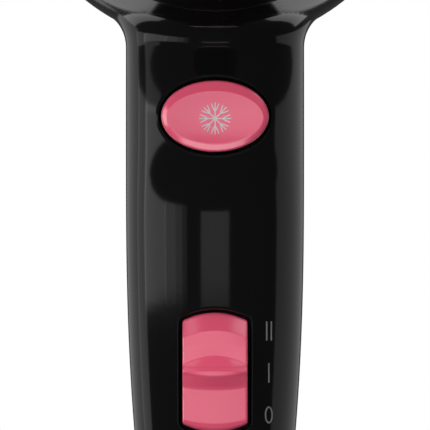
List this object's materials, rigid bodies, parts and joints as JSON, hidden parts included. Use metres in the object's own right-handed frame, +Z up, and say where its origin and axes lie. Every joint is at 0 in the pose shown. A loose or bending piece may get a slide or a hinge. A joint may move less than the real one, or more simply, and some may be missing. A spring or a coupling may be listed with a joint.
{
  "type": "hair dryer",
  "caption": "Hand-held hair dryer: flared barrel with heater, motor and fan, straight handle with a rocker switch and an oval cool-shot button.",
  "frame": {"origin": "middle of the air outlet's mouth, on the barrel's axis", "axes": "+Z up, the handle hangs down; the barrel runs along Y with the air leaving along -Y and the inlet cap at +Y; +X to the right seen from the outlet end"},
  "size_m": [0.089, 0.168, 0.2135],
  "materials": {
    "black_gloss": "high gloss, injection moulded",
    "pink_gloss": "gloss, injection moulded",
    "black_satin": "satin, heat-resistant plastic",
    "inner_grey": "matte, heat-resistant plastic",
    "white_nylon": "matte nylon",
    "mica": "layered mica board",
    "resistance_wire": "drawn wire, heat-tinted",
    "steel": "zinc-plated",
    "screen_mesh": "woven wire",
    "magnet": "ferrite",
    "core": "laminated steel, varnished windings",
    "copper": "bare copper",
    "sintered_bronze": "sintered bronze",
    "carbon": "pressed carbon",
    "circuit_board": "paper laminate",
    "component_black": "moulded epoxy",
    "component_yellow": "moulded, satin",
    "lead_insulation": "silicone sleeve",
    "soft_black": "soft-touch rubber"
  },
  "bodies": {
    "housing": {"front_shell": "black_gloss", "rear_shell": "black_gloss", "front_barrel": "black_gloss", "outlet_ring": "pink_gloss", "outlet_grille": "black_satin", "heating_coil": "resistance_wire", "mica_board_upright": "mica", "mica_board_level": "mica", "mica_liner": "mica", "thermostat": "copper", "thermal_fuse": "steel", "motor_mount": "inner_grey", "motor_can": "steel", "motor_magnets": "magnet", "motor_end_bell": "component_black", "motor_bearing_front": "sintered_bronze", "motor_bearing_rear": "sintered_bronze", "brushes": "carbon", "rectifier_board": "circuit_board", "rectifier_diodes": "component_black", "button_spring": "steel", "microswitch": "component_black", "rocker_pin": "steel", "switch_body": "component_black", "control_board": "circuit_board", "capacitor": "component_yellow", "chokes": "core", "foot_cap": "black_gloss", "inlet_bush": "soft_black", "cord_clamp": "black_satin", "clamp_screws": "steel", "housing_screws": "steel", "heater_lead_left": "lead_insulation", "heater_lead_right": "lead_insulation", "motor_lead": "lead_insulation"},
    "rotor": {"motor_shaft": "steel", "armature": "core", "commutator": "copper", "fan_impeller": "white_nylon"},
    "button": {"cool_button": "pink_gloss", "microswitch_plunger": "white_nylon"},
    "rocker_switch": {"rocker": "pink_gloss"},
    "inlet_cap": {"rear_cap": "black_gloss", "filter_screen": "screen_mesh"}
  },
  "joints": [
    {"name": "fan_spin", "type": "hinge", "parent": "housing", "child": "rotor", "pos_m": [0, 0.128, 0], "axis": [0, -1, 0], "continuous": true},
    {"name": "cool_shot_press", "type": "slide", "parent": "housing", "child": "button", "axis": [0, 1, 0], "range_m": [0, 0.0018], "stiffness_N_per_m": 800, "springref_m": -0.001, "deforming": ["button_spring"]},
    {"name": "rocker_tilt", "type": "hinge", "parent": "housing", "child": "rocker_switch", "pos_m": [0, 0.0772, -0.1141], "axis": [1, 0, 0], "range_deg": [-7, 7]},
    {"name": "inlet_cap_pull", "type": "slide", "parent": "housing", "child": "inlet_cap", "axis": [0, 1, 0], "range_m": [0, 0.03]}
  ]
}
